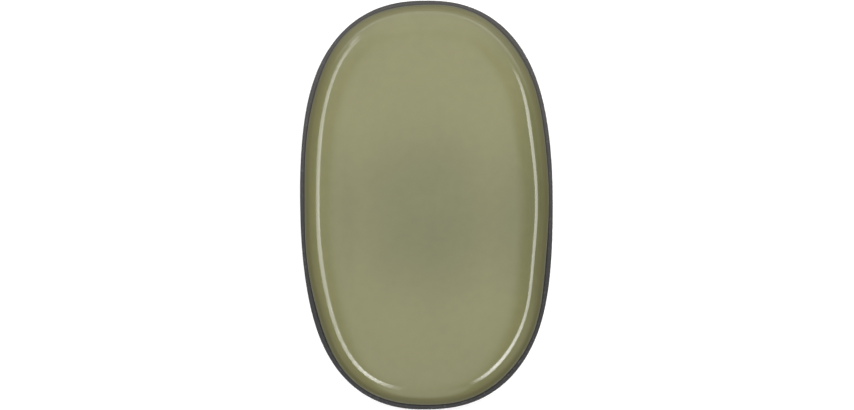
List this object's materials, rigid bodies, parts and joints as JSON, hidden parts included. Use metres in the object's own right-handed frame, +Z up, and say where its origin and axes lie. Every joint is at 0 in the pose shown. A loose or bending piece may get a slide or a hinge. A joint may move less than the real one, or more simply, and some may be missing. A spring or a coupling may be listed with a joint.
{
  "type": "oval plate",
  "caption": "Oval stoneware serving plate with a low upright rim, a glossy glazed well, a matt lip and outer wall, and a bare foot ring to stand on.",
  "frame": {"origin": "on the table under the middle of the plate, at the level of the foot ring's bearing face", "axes": "+Z up out of the well, +Y along the plate's length, +X across its width"},
  "size_m": [0.219, 0.355, 0.026],
  "materials": {
    "stoneware": "bare fired stoneware, dark and fine-grained",
    "olive_glaze": "glossy olive glaze, browner where it thins towards the lip",
    "charcoal_glaze": "matt charcoal glaze with a fine tooth"
  },
  "bodies": {
    "root": {"stoneware_body": "stoneware", "well_glaze": "olive_glaze", "outer_glaze": "charcoal_glaze", "base_glaze": "charcoal_glaze"}
  },
  "joints": []
}
